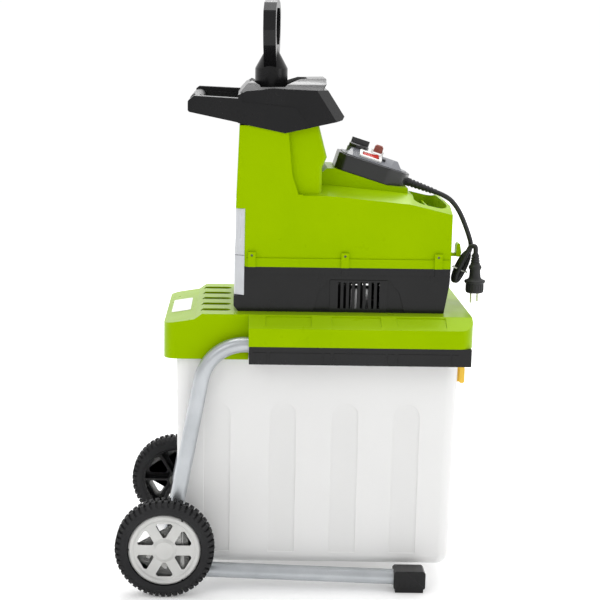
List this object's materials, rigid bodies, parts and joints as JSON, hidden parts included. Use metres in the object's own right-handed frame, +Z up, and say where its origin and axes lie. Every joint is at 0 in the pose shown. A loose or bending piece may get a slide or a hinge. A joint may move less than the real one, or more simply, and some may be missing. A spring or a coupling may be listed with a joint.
{
  "type": "electric garden shredder",
  "caption": "Upright electric garden shredder on a wheeled tube frame, with hopper hood, feed pusher, tilted console, geared cutting drum and a pull-out translucent box.",
  "frame": {"origin": "on the floor, under the middle of the object's box measured without the lead", "axes": "+Z up, +X the front, where the box pulls out, -Y the side with the latch"},
  "size_m": [0.6793, 0.456, 1.067],
  "materials": {
    "black_plastic": "fine moulded grain",
    "can_grey": "drawn can",
    "cast_alloy": "die cast",
    "console_black": "semi-gloss",
    "console_grey": "satin grey",
    "gear_steel": "hobbed, oiled",
    "hubcap_silver": "silver painted plastic",
    "label_white": "blank film",
    "lamination": "stacked sheet",
    "latch_yellow": "moulded",
    "lime_plastic": "moulded, fine satin",
    "milky_plastic": "translucent milky",
    "nickel": "nickel plated",
    "panel_grey": "silver satin",
    "plug_black": "moulded rubber",
    "rubber_cord": "soft satin",
    "silver_paint": "satin silver powder coat",
    "steel": "turned",
    "switch_brown": "gloss",
    "switch_red": "gloss",
    "switch_white": "gloss",
    "tie_wire": "paper coated wire",
    "tool_steel": "hardened, oiled",
    "tyre_black": "hard rubber",
    "zinc": "zinc plated"
  },
  "bodies": {
    "root": {"axle": "steel", "axle_end_caps": "zinc", "axle_washers": "zinc", "carry_grip": "black_plastic", "console_body": "console_black", "console_plate": "console_grey", "cord_hank": "rubber_cord", "cord_tie": "tie_wire", "cutting_chamber": "cast_alloy", "deck_cover": "lime_plastic", "deck_label": "label_white", "feed_chute": "black_plastic", "foot_far": "black_plastic", "foot_near": "black_plastic", "frame_bolts": "zinc", "frame_tube_far": "silver_paint", "frame_tube_near": "silver_paint", "gearbox_case": "cast_alloy", "hopper_hood": "black_plastic", "housing_screws": "zinc", "latch_switch": "black_plastic", "lower_housing": "black_plastic", "motor_bearings": "steel", "motor_end_shields": "cast_alloy", "motor_stator": "lamination", "plug_body": "plug_black", "plug_pins": "nickel", "power_cord": "rubber_cord", "rail_far": "black_plastic", "rail_near": "black_plastic", "rear_panel_lower": "panel_grey", "rear_panel_upper": "panel_grey", "rocker_bezel": "switch_white", "start_capacitor": "can_grey", "strain_relief": "rubber_cord", "upper_housing": "lime_plastic"},
    "wheel_near_body": {"tyre_near": "tyre_black", "wheel_near": "black_plastic", "hubcap_near": "hubcap_silver"},
    "wheel_far_body": {"tyre_far": "tyre_black", "wheel_far": "black_plastic", "hubcap_far": "hubcap_silver"},
    "box_body": {"collection_box": "milky_plastic"},
    "latch_body": {"box_latch": "latch_yellow"},
    "plunger_body": {"plunger_handle": "black_plastic", "plunger_tube": "black_plastic"},
    "selector_body": {"selector_knob": "console_black"},
    "rocker_body": {"power_rocker": "switch_red"},
    "flap_body": {"switch_cover": "switch_brown"},
    "reset_body": {"reset_button": "console_black"},
    "motor_body": {"motor_rotor": "steel", "motor_pinion": "gear_steel", "motor_fan": "black_plastic"},
    "lay_body": {"lay_shaft": "steel", "reduction_gear": "gear_steel"},
    "drum_body": {"cutting_drum": "tool_steel", "drum_gear": "gear_steel"},
    "adjuster_body": {"adjusting_screw": "steel", "adjusting_knob": "black_plastic"},
    "plate_body": {"counter_plate": "tool_steel"}
  },
  "joints": [
    {"name": "wheel_near_spin", "type": "hinge", "parent": "root", "child": "wheel_near_body", "pos_m": [-0.2286, 0, 0.09], "axis": [0, 1, 0], "continuous": true},
    {"name": "wheel_far_spin", "type": "hinge", "parent": "root", "child": "wheel_far_body", "pos_m": [-0.2286, 0, 0.09], "axis": [0, 1, 0], "continuous": true},
    {"name": "box_slide", "type": "slide", "parent": "root", "child": "box_body", "axis": [1, 0, 0], "range_m": [0, 0.48]},
    {"name": "latch_slide", "type": "slide", "parent": "box_body", "child": "latch_body", "axis": [0, 0, 1], "range_m": [0, 0.022]},
    {"name": "plunger_lift", "type": "slide", "parent": "root", "child": "plunger_body", "axis": [0, 0, 1], "range_m": [0, 0.3]},
    {"name": "selector_turn", "type": "hinge", "parent": "root", "child": "selector_body", "pos_m": [0.1144, 0.01, 0.78409], "axis": [0.3007, 0, 0.9537], "range_deg": [-60, 60]},
    {"name": "rocker_tilt", "type": "hinge", "parent": "root", "child": "rocker_body", "pos_m": [0.13782, -0.02491, 0.78187], "axis": [0.0939, 0.95, 0.2979], "range_deg": [0, 8]},
    {"name": "cover_flip", "type": "hinge", "parent": "root", "child": "flap_body", "pos_m": [0.15319, -0.01235, 0.79404], "axis": [0.9537, 0, -0.3007], "range_deg": [0, 90]},
    {"name": "reset_press", "type": "slide", "parent": "root", "child": "reset_body", "axis": [-0.2857, 0.3123, -0.906], "range_m": [0, 0.0025], "stiffness_N_per_m": 800},
    {"name": "motor_spin", "type": "hinge", "parent": "root", "child": "motor_body", "pos_m": [0.17, 0, 0.602], "axis": [1, 0, 0], "continuous": true},
    {"name": "lay_spin", "type": "hinge", "parent": "root", "child": "lay_body", "pos_m": [0.09, 0.054, 0.602], "axis": [1, 0, 0], "continuous": true},
    {"name": "drum_spin", "type": "hinge", "parent": "root", "child": "drum_body", "pos_m": [-0.03, 0, 0.602], "axis": [1, 0, 0], "continuous": true},
    {"name": "adjuster_turn", "type": "hinge", "parent": "root", "child": "adjuster_body", "pos_m": [-0.031, 0.13, 0.602], "axis": [0, -1, 0], "range_deg": [0, 720]},
    {"name": "plate_feed", "type": "slide", "parent": "root", "child": "plate_body", "axis": [0, -1, 0], "range_m": [0, 0.003]}
  ],
  "couplings": [
    {"joint": "lay_spin", "follows": "motor_spin", "ratio": -0.2},
    {"joint": "drum_spin", "follows": "motor_spin", "ratio": 0.057143},
    {"joint": "adjuster_turn", "follows": "plate_feed", "rad_per_m": 4188.4}
  ]
}
